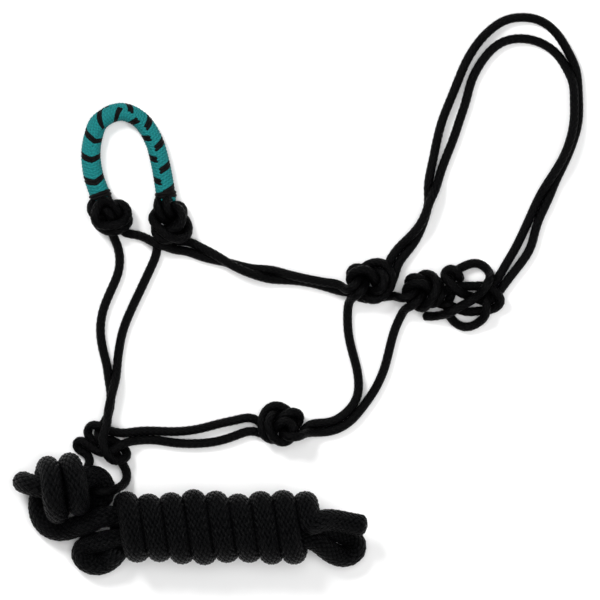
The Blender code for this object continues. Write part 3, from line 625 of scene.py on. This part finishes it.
def settled_ropes():
    """The halter rope, where each part of it starts, and the lead's hitch, all settled."""
    halter, starts = halter_points()
    lead = lead_points()
    cover, _ = cover_route(COVER_BLOCK_STEP)
    hold = halter_hold(starts, len(halter))
    core = hold == 1.0
    radii = np.full(len(cover), COVER_BLOCK)
    lead_hold = np.full(len(lead), LEAD_HOLD)
    lead_hold[-LEAD_ENTRY:] = 1.0
    ropes = []
    begin = 0
    cuts = [i for i in range(1, len(halter)) if core[i] != core[i - 1]]
    for cut in cuts + [len(halter)]:
        ropes.append((begin, cut, bool(core[begin])))
        begin = cut
    for i, j, inside in ropes:
        if not inside:
            hold[[k for k in (i, j - 1) if 0 < k < len(halter) - 1]] = 1.0
    thin, thick = ROPE / 2 + CLEARANCE, LEAD / 2 + CLEARANCE
    loose = [(halter[i:j], thin, hold[i:j]) for i, j, inside in ropes if not inside]
    loose.append((lead, thick, lead_hold))
    inside = slice(COVER_BLOCK_INSET, len(cover) - COVER_BLOCK_INSET)
    bight, _ = smooth(BIGHT_NEAR, LEAD_STEP)
    fixed = np.concatenate([cover[inside], bight])
    fixed_radii = np.concatenate([radii[inside], np.full(len(bight), LEAD / 2)])
    done = settle(loose, (fixed, fixed_radii))
    result = halter.copy()
    for (i, j, _), found in zip([r for r in ropes if not r[2]], done[:-1]):
        result[i:j] = found
    return result, straight_cuts(result, starts), done[-1]


def shifted(points):
    """Points of the layout, moved so that its middle is over the origin."""
    return np.asarray(points, float) + [*CENTRE_SHIFT, 0]


def relaxed(points, rounds):
    """Take the small kinks out of a route, leaving its two ends."""
    points = points.copy()
    for _ in range(rounds):
        points[1:-1] += 0.5 * (0.5 * (points[:-2] + points[2:]) - points[1:-1])
    return points


def frames(path):
    """Two directions across a route at each point, carried along without twisting."""
    tangent = unit(np.gradient(path, axis=0))
    across = np.zeros_like(path)
    side = np.cross(tangent[0], [0, 0, 1.0])
    if np.linalg.norm(side) < 0.1:
        side = np.cross(tangent[0], [1.0, 0, 0])
    for i, ahead in enumerate(tangent):
        side = side - ahead * (side @ ahead)
        side = side / np.linalg.norm(side)
        across[i] = side
    return across, np.cross(tangent, across)


def braid_height(turn, along, braid):
    """Height, 0 to 1, of a round braid: strands both ways round, over and under."""
    one = np.sin(np.pi * braid.strands * (turn + along / braid.pitch))
    two = np.sin(np.pi * braid.strands * (turn - along / braid.pitch))
    over = one * two
    return np.maximum(
        CROWN_SHARE * np.abs(one)**CROWN_POWER + OVER_SHARE * over,
        CROWN_SHARE * np.abs(two)**CROWN_POWER - OVER_SHARE * over)


def rounding(own, thick, rounded):
    """The share of its radius that each ring keeps towards an end that is rounded."""
    kept = np.ones(len(own))
    for wanted, gap in zip(rounded, (own, own[-1] - own)):
        if wanted:
            near = np.clip(gap / (ROUND_LENGTH * thick), 0, 1)
            kept *= np.sqrt(np.clip(1 - (1 - near)**2, ROUND_LEAST, 1))
    return kept


def tube_faces(rings, sides):
    """The points of each quad round a tube, and of each triangle that closes its ends."""
    index = np.arange(rings * sides).reshape(rings, sides)
    right = np.roll(index, -1, axis=1)
    quads = np.stack([index[:-1], right[:-1], right[1:], index[1:]], axis=-1).reshape(-1, 4)
    first, last = rings * sides, rings * sides + 1
    caps = []
    for side in range(sides):
        after = (side + 1) % sides
        caps.append((index[0, after], index[0, side], first))
        caps.append((index[-1, side], index[-1, after], last))
    return quads, np.array(caps)


def rope_places(turn, along, quads, used):
    """The place of each face corner on the rope: its share of a turn, and how far along."""
    across = np.concatenate([np.tile(turn, len(along)), [0, 0]])[used]
    down = np.concatenate([np.repeat(along, len(turn)), [along[0], along[-1]]])[used]
    closing = np.zeros(len(used), bool)
    closing[:quads.size] = (quads.ravel() % len(turn) == 0) & np.tile(
        [False, True, True, False], len(quads))
    across = np.where(closing, 1.0, across)
    return np.stack([across, down * MM], axis=1)


def built_mesh(name, points, quads, caps, turn, along):
    """A smooth mesh of quads and end triangles, with its places on the rope as UVs."""
    used = np.concatenate([quads.ravel(), caps.ravel()])
    starts = np.concatenate([
        np.arange(len(quads)) * 4, quads.size + np.arange(len(caps)) * 3])
    mesh = bpy.data.meshes.new(name)
    mesh.vertices.add(len(points))
    mesh.vertices.foreach_set("co", (points * MM).ravel())
    mesh.loops.add(len(used))
    mesh.loops.foreach_set("vertex_index", used)
    mesh.polygons.add(len(quads) + len(caps))
    mesh.polygons.foreach_set("loop_start", starts)
    mesh.update(calc_edges=True)
    layer = mesh.uv_layers.new(name="rope")
    layer.data.foreach_set("uv", rope_places(turn, along, quads, used).ravel())
    mesh.shade_smooth()
    mesh.validate()
    return mesh


def tube_mesh(name, path, radii, braid, start=0.0, carried=None, rounded=(False, False),
              tucked=(False, False)):
    """A braided rope along a route.

    radii is one number, or a column with one for each ring, or a table with one for each
    point. rounded and tucked say how the first end and the last end are finished.
    """
    across, other = carried or frames(path)
    along = start + lengths(path)
    turn = np.arange(braid.sides) / braid.sides
    angle = 2 * np.pi * turn
    height = braid_height(turn[None, :], along[:, None], braid)
    reach = radii + braid.relief * (height - BRAID_MIDDLE)
    reach = reach * rounding(along - along[0], float(np.mean(radii)), rounded)[:, None]
    if tucked[0]:
        reach[:len(TUCK)] -= np.array(TUCK[::-1])[:, None]
    if tucked[1]:
        reach[-len(TUCK):] -= np.array(TUCK)[:, None]
    rings = (
        path[:, None, :]
        + reach[:, :, None] * (np.cos(angle)[None, :, None] * across[:, None, :]
                               + np.sin(angle)[None, :, None] * other[:, None, :]))
    points = np.concatenate([rings.reshape(-1, 3), np.array([path[0], path[-1]])])
    quads, caps = tube_faces(len(path), braid.sides)
    return built_mesh(name, points, quads, caps, turn, along)


def new_object(name, mesh, look):
    made = bpy.data.objects.new(name, mesh)
    bpy.context.scene.collection.objects.link(made)
    mesh.materials.append(look)
    return made


def joined(name, meshes, look):
    """One object from several meshes."""
    objects = [new_object(f"{name}.{k}", mesh, look) for k, mesh in enumerate(meshes)]
    bpy.ops.object.select_all(action="DESELECT")
    for each in objects:
        each.select_set(True)
    bpy.context.view_layer.objects.active = objects[0]
    bpy.ops.object.join()
    whole = bpy.context.view_layer.objects.active
    whole.name = name
    whole.data.name = name
    while len(whole.data.materials) > 1:
        whole.data.materials.pop()
    return whole


class Sums:
    """Short arithmetic in a material's node tree."""

    def __init__(self, tree):
        self.tree = tree

    def maths(self, operation, *values):
        made = self.tree.nodes.new("ShaderNodeMath")
        made.operation = operation
        for socket, value in zip(made.inputs, values):
            if isinstance(value, (int, float)):
                socket.default_value = value
            else:
                self.tree.links.new(value, socket)
        return made.outputs[0]

    def times(self, value, by):
        return self.maths("MULTIPLY", value, by)

    def plus(self, value, more):
        return self.maths("ADD", value, more)

    def wave(self, value, count):
        """A sine that crosses nought count times while value goes up by one."""
        return self.maths("SINE", self.times(value, math.pi * count))

    def noise(self, vector, scale, detail):
        made = self.tree.nodes.new("ShaderNodeTexNoise")
        made.inputs["Scale"].default_value = scale
        made.inputs["Detail"].default_value = detail
        self.tree.links.new(vector, made.inputs["Vector"])
        return made.outputs["Fac"]

    def stretched(self, vector, by):
        made = self.tree.nodes.new("ShaderNodeVectorMath")
        made.operation = "MULTIPLY"
        self.tree.links.new(vector, made.inputs[0])
        made.inputs[1].default_value = by
        return made.outputs[0]

    def split(self, vector):
        made = self.tree.nodes.new("ShaderNodeSeparateXYZ")
        self.tree.links.new(vector, made.inputs["Vector"])
        return made.outputs["X"], made.outputs["Y"]


def strand_height(sums, wave, over):
    """Height of one set of strands, from its wave and how far it lies over the other set."""
    crown = sums.maths("POWER", sums.maths("ABSOLUTE", wave), CROWN_POWER)
    return sums.plus(sums.times(crown, CROWN_SHARE), over)


def fibre_height(sums, places, braid, yarns):
    """Height of the braid, of the yarns in whichever strand is on top, and of loose fibre."""
    turn, along = sums.split(places)
    along = sums.times(along, 1 / (braid.pitch * MM))
    ways = [sums.maths(sign, turn, along) for sign in ("ADD", "SUBTRACT")]
    waves = [sums.wave(way, braid.strands) for way in ways]
    over = sums.times(sums.times(*waves), OVER_SHARE)
    first = strand_height(sums, waves[0], over)
    second = strand_height(sums, waves[1], sums.times(over, -1.0))
    on_top = sums.maths("GREATER_THAN", first, second)
    under = sums.maths("SUBTRACT", 1.0, on_top)
    ridges = [sums.maths("ABSOLUTE", sums.wave(way, braid.strands * yarns)) for way in ways]
    chosen = sums.plus(sums.times(ridges[0], on_top), sums.times(ridges[1], under))
    fuzz = sums.noise(sums.stretched(places, FUZZ_STRETCH), 1.0, FUZZ_DETAIL)
    braided = sums.maths("MAXIMUM", first, second)
    with_yarns = sums.plus(braided, sums.times(chosen, YARN_SHARE))
    return sums.plus(with_yarns, sums.times(fuzz, FUZZ_SHARE))


def shade_and_highlight_colour(tree, tone, tones):
    """A colour between two tones by braid height: painted shade at the low end, a painted
    highlight at the high end.
    """
    ramp = tree.nodes.new("ShaderNodeMapRange")
    tree.links.new(tone, ramp.inputs["Value"])
    ramp.inputs["From Min"].default_value = SHADE_AND_HIGHLIGHT_HEIGHTS[0]
    ramp.inputs["From Max"].default_value = SHADE_AND_HIGHLIGHT_HEIGHTS[1]
    mixed = tree.nodes.new("ShaderNodeMix")
    mixed.data_type = "RGBA"
    tree.links.new(ramp.outputs["Result"], mixed.inputs["Factor"])
    colour_in = [i for i in mixed.inputs if i.type == "RGBA"]
    for socket, colour in zip(colour_in, tones):
        socket.default_value = (*colour, 1)
    return next(o for o in mixed.outputs if o.type == "RGBA")


def bumped(tree, height, depth):
    bump = tree.nodes.new("ShaderNodeBump")
    bump.inputs["Strength"].default_value = BUMP_STRENGTH
    bump.inputs["Distance"].default_value = depth * MM
    tree.links.new(height, bump.inputs["Height"])
    return bump.outputs["Normal"]


def rope_look(name, hollow_shade_tone, crown_highlight_tone, roughness, shine, braid, yarns, depth):
    """Braided fibre: strands over and under each other, each made of a few fine yarns. Its colour
    has painted shade in the braid's hollows and a painted highlight on the strands' crowns.
    """
    look = bpy.data.materials.new(name)
    look.use_nodes = True
    tree = look.node_tree
    sums = Sums(tree)
    shader = tree.nodes["Principled BSDF"]
    shader.inputs["Roughness"].default_value = roughness
    shader.inputs["Specular IOR Level"].default_value = shine
    places = tree.nodes.new("ShaderNodeUVMap")
    places.uv_map = "rope"
    spot = tree.nodes.new("ShaderNodeTexCoord")
    height = fibre_height(sums, places.outputs["UV"], braid, yarns)
    worn = sums.noise(spot.outputs["Object"], WEAR_SCALE, WEAR_DETAIL)
    # Base colour: the rope's own colour, with painted shade where the braid is low and a painted
    # highlight where it is high, plus random tone from the wear noise.
    tone = sums.plus(height, sums.times(worn, WEAR_SHARE))
    tree.links.new(shade_and_highlight_colour(tree, tone, (hollow_shade_tone, crown_highlight_tone)), shader.inputs["Base Color"])
    tree.links.new(bumped(tree, height, depth), shader.inputs["Normal"])
    return look


def floor_look():
    look = bpy.data.materials.new("pale_floor")
    look.use_nodes = True
    shader = look.node_tree.nodes["Principled BSDF"]
    shader.inputs["Base Color"].default_value = (FLOOR_TONE, FLOOR_TONE, FLOOR_TONE, 1)
    shader.inputs["Roughness"].default_value = FLOOR_ROUGHNESS
    shader.inputs["Specular IOR Level"].default_value = FLOOR_SHINE
    return look


def halter_route():
    """The halter rope as one fine route, where each part of it starts, and the hitch."""
    coarse, starts, hitch = settled_ropes()
    even, marks = smooth(shifted(coarse), FINE_STEP)
    route = relaxed(even, FINE_ROUNDS)
    return route, [(name, int(marks[start])) for name, start in starts], hitch


def section_of(starts, count, first, last):
    """First and last ring of the rope from one named part to another."""
    names = [name for name, _ in starts]
    ends = [start for _, start in starts[1:]] + [count - 1]
    return starts[names.index(first)][1], ends[names.index(last)]


def fold(piece, body):
    """Take a piece off its parent and bake its place into its mesh. The body's hinge is looked
    up, but the piece is not bent.
    """
    name, spread = FOLDS[body]
    hinge = next(j for j in frame["joints"] if j["name"] == name)
    ahead = np.cross([0, 0, 1.0], np.array(hinge["axis"], float))
    ahead /= np.linalg.norm(ahead)
    piece.parent = None
    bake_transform(piece)


def strand_radii(path, squeezed):
    """The rope's radius at each ring. It narrows where the noseband's cover grips it."""
    if not squeezed:
        return np.full((len(path), 1), 0.5 * ROPE + PROUD)
    own = lengths(path)
    near = np.clip(own / CORE_NARROWING, 0, 1)
    far = np.clip((own[-1] - own) / CORE_NARROWING, 0, 1)
    narrower = (CORE_RADIUS_SEEN - 0.5 * ROPE) * np.minimum(near, far)
    return (0.5 * ROPE + narrower)[:, None]


def add_halter(look):
    """The stretches of the halter rope, each as a piece. Gives back the settled hitch."""
    route, starts, hitch = halter_route()
    across, other = frames(route)
    along = lengths(route)
    parts = [name for name, _ in starts]
    for name, first, last, body in HALTER_PIECES:
        begin, end = section_of(starts, len(route), first, last)
        cut = (begin > 0, end < len(route) - 2)
        rings = slice(begin - len(TUCK) * cut[0], end + len(TUCK) * cut[1] + 1)
        path = route[rings]
        mesh = tube_mesh(
            name, path, strand_radii(path, "noseband" in name), HALTER_BRAID,
            start=along[rings.start], carried=(across[rings], other[rings]),
            rounded=(not cut[0], not cut[1]), tucked=cut)
        piece = new_object(name, mesh, look)
        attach(piece, body)
        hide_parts(*parts[parts.index(first):parts.index(last) + 1])
        if body in FOLDS:
            fold(piece, body)
    return hitch


def wrap_points():
    """The turns round the hank: under, up the far side, over and down."""
    count = int(WRAP_TURNS * WRAP_STEPS)
    angle = WRAP_START + 2 * math.pi * np.linspace(0, WRAP_TURNS, count)
    angle = angle[angle < 2 * math.pi * WRAP_TURNS]
    turns = (angle - math.pi) / (2 * math.pi)
    reach = np.interp(turns, np.arange(len(WRAP_REACH)), WRAP_REACH)
    x = WRAP_FIRST_X + WRAP_PITCH * turns
    y = HANK_Y - (WRAP_Y + reach) * np.cos(angle)
    z = HANK_Z - WRAP_Z * np.sin(angle)
    return [tuple(p) for p in np.stack([x, y, z], axis=1)]


def lead_route(hitch):
    """The whole lead, from its short end to its tail, and where each part of it starts."""
    coarse = [tuple(p) for p in hitch]
    parts = [coarse, RUN_A, BIGHT_OUT, RUN_B, BIGHT_BACK, wrap_points(), LEAD_TAIL]
    points = [p for part in parts for p in part]
    even, marks = smooth(shifted(points), LEAD_FINE_STEP)
    counts = np.cumsum([0] + [len(part) for part in parts])
    places = [int(marks[min(c, len(points) - 1)]) for c in counts]
    return relaxed(even, LEAD_FINE_ROUNDS), places


def stretches(count, ends):
    """1 within each stretch of the lead, 0 outside, changing over a few rings."""
    within = np.zeros(count)
    for first, last in ends:
        within[first:last] = 1
    window = np.hanning(LEAD_CHANGE)
    return np.convolve(within, window / window.sum(), mode="same")


def outward_share(path, across, other):
    """How directly each point of the lead's rings faces away from the middle of the hank."""
    outward = path - np.array([0, HANK_Y + CENTRE_SHIFT[1], HANK_Z])
    outward[:, 0] = 0
    outward = unit(outward)
    angle = 2 * np.pi * np.arange(LEAD_BRAID.sides) / LEAD_BRAID.sides
    return (
        np.einsum("ij,ij->i", across, outward)[:, None] * np.cos(angle)[None, :]
        + np.einsum("ij,ij->i", other, outward)[:, None] * np.sin(angle)[None, :])


def lead_sections(path, places, carried):
    """Radii of the lead: round outside the hank, squeezed in it, flattened in a wrap."""
    inside = stretches(len(path), ((places[1], places[2]), (places[3], places[4])))
    wrapped = stretches(len(path), ((places[5], places[6]),))
    facing = outward_share(path, *carried)
    wide, thick = (
        0.5 * LEAD + (half - 0.5 * LEAD) * wrapped + (RUN_HALF - 0.5 * LEAD) * inside
        for half in (WRAP_ACROSS, WRAP_THICK))
    return 1 / np.sqrt(facing**2 / thick[:, None]**2 + (1 - facing**2) / wide[:, None]**2)


def add_lead(hitch, look):
    path, places = lead_route(hitch)
    carried = frames(path)
    mesh = tube_mesh(
        "lead_rope_whole", path, lead_sections(path, places, carried), LEAD_BRAID,
        carried=carried, rounded=(True, True))
    piece = new_object("lead_rope_whole", mesh, look)
    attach(piece, "lead")
    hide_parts("lead_hitch", "lead_bight_near", "lead_hank", "lead_bight_far", "lead_end")


def cover_frame():
    """The noseband's middle line, finely, with its radius and its inward direction."""
    flat, radius = cover_route(COVER_FINE_STEP)
    flat = shifted(flat)
    tangent = unit(np.gradient(flat, axis=0))
    inward = np.stack([tangent[:, 1], -tangent[:, 0], np.zeros(len(flat))], axis=1)
    return flat, radius, inward


def on_cover(place, angle, depth, cover):
    """Points of a cord on the noseband, from their places along it and angles round it."""
    line, radius, inward = cover
    along = lengths(line)
    middle, toward = (
        np.stack([np.interp(place, along, table[:, k]) for k in range(3)], axis=1)
        for table in (line, inward))
    reach = np.interp(place, along, radius) - 0.5 * CORD - depth
    up = np.array([0, 0, 1.0])
    return middle + reach[:, None] * (
        np.cos(angle)[:, None] * up + np.sin(angle)[:, None] * toward)


def cover_cord_path(start, side, cover):
    """Half a turn of a noseband cord, from the near spine round to the far one."""
    total = lengths(cover[0])[-1]
    share = np.linspace(-LAP, 1 + LAP, CORD_POINTS)
    parting = CORD_SPLIT * np.interp(start / total, SPLIT_FROM_TO, (0, 1))
    place = start + CORD_SLANT * share + side * parting
    keep = (place > COVER_TRIM) & (place < total - COVER_TRIM)
    place, share = place[keep], share[keep]
    if len(place) < CORD_LEAST_POINTS:
        return None
    turn = np.interp(place / total, *zip(*SPINE_TURN))
    angle = np.radians(turn) + side * np.pi * share
    tuck = np.clip((np.abs(share - 0.5) - 0.5 + LAP) / (2 * LAP), 0, 1)
    even, _ = smooth(on_cover(place, angle, END_SINK * tuck, cover), CORD_STEP)
    return even


def cord_mesh(name, path, start=0.0):
    return tube_mesh(name, path, 0.5 * CORD, CORD_BRAID, start=start)


def cover_cords(cover):
    """The cords of the noseband's plait, by colour."""
    total = lengths(cover[0])[-1]
    cords = {"teal": [], "black": []}
    count = 0
    place = CORD_FIRST
    while place < total + CORD_SPLIT:
        colour = "black" if count % BAND_EVERY in BAND_CORDS else "teal"
        for side in (1, -1):
            path = cover_cord_path(place, side, cover)
            if path is not None:
                cords[colour].append(cord_mesh(f"{colour}_cord", path, CORD_PHASE * count))
        squeeze = TOP_SQUEEZE if TOP_FROM_TO[0] < place / total < TOP_FROM_TO[1] else 1
        place += squeeze * CORD_SPACING
        count += 1
    return cords


def whippings(cover):
    """Rings of cord round the ends of the noseband."""
    total = lengths(cover[0])[-1]
    angle = np.linspace(0, 2 * np.pi * WHIPPING_TURNS, WHIPPING_POINTS)
    made = []
    for ring in [*WHIPPING, *(total - far for far in WHIPPING)]:
        place = np.full(WHIPPING_POINTS, ring)
        made.append(cord_mesh("whipping", on_cover(place, angle, -WHIPPING_PROUD, cover)))
    return made


def add_cover(teal, black):
    cover = cover_frame()
    cords = cover_cords(cover)
    line, radius, _ = cover
    lining = tube_mesh(
        "lining", line[1:-1], (radius[1:-1] - LINING_DEPTH)[:, None], LINING_BRAID)
    for name, meshes, look, slot in (
            ("noseband_cords_teal", cords["teal"], teal, "noseband_cover"),
            ("noseband_cords_black", cords["black"] + whippings(cover), black, "halter_rope"),
            ("noseband_lining", [lining], black, "noseband_cover")):
        piece = joined(name, meshes, look)
        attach(piece, "noseband")
        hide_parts("noseband_cover")
        fold(piece, "noseband")


def add_camera():
    data = bpy.data.cameras.new("camera")
    data.sensor_width = SENSOR
    data.lens = SENSOR * CAMERA_HEIGHT / CAMERA_VIEW
    data.clip_end = CAMERA_CLIP
    camera = bpy.data.objects.new("camera", data)
    camera.location = [c * MM for c in (*CAMERA_AT, CAMERA_HEIGHT + VIEW_LEVEL)]
    bpy.context.scene.collection.objects.link(camera)
    bpy.context.scene.camera = camera


def add_floor():
    bpy.ops.mesh.primitive_plane_add(size=FLOOR_SIZE, location=(0, 0, -FLOOR_GAP))
    floor = bpy.context.object
    floor.name = "floor"
    floor.data.materials.append(floor_look())


def add_lamp(name, place, size, power):
    """A round soft lamp that faces the origin."""
    data = bpy.data.lights.new(name, "AREA")
    data.shape = "DISK"
    data.size = size
    data.energy = power
    lamp = bpy.data.objects.new(name, data)
    lamp.location = place
    x, y, z = place
    lamp.rotation_euler = (math.atan2(math.hypot(x, y), z), 0, math.atan2(-x, y) + math.pi)
    bpy.context.scene.collection.objects.link(lamp)


def add_lights():
    world = bpy.data.worlds.new("studio")
    world.use_nodes = True
    background = world.node_tree.nodes["Background"]
    background.inputs["Color"].default_value = (1, 1, 1, 1)
    background.inputs["Strength"].default_value = WORLD_STRENGTH
    bpy.context.scene.world = world
    bpy.context.scene.view_settings.view_transform = "Standard"
    for lamp in LAMPS:
        add_lamp(*lamp)


def main():
    add_camera()
    looks = {name: rope_look(name, *facts) for name, facts in LOOKS.items()}
    hitch = add_halter(looks["black_halter_rope"])
    add_lead(hitch, looks["black_lead_rope"])
    add_cover(looks["teal_noseband_cord"], looks["black_noseband_cord"])
    add_floor()
    add_lights()


main()
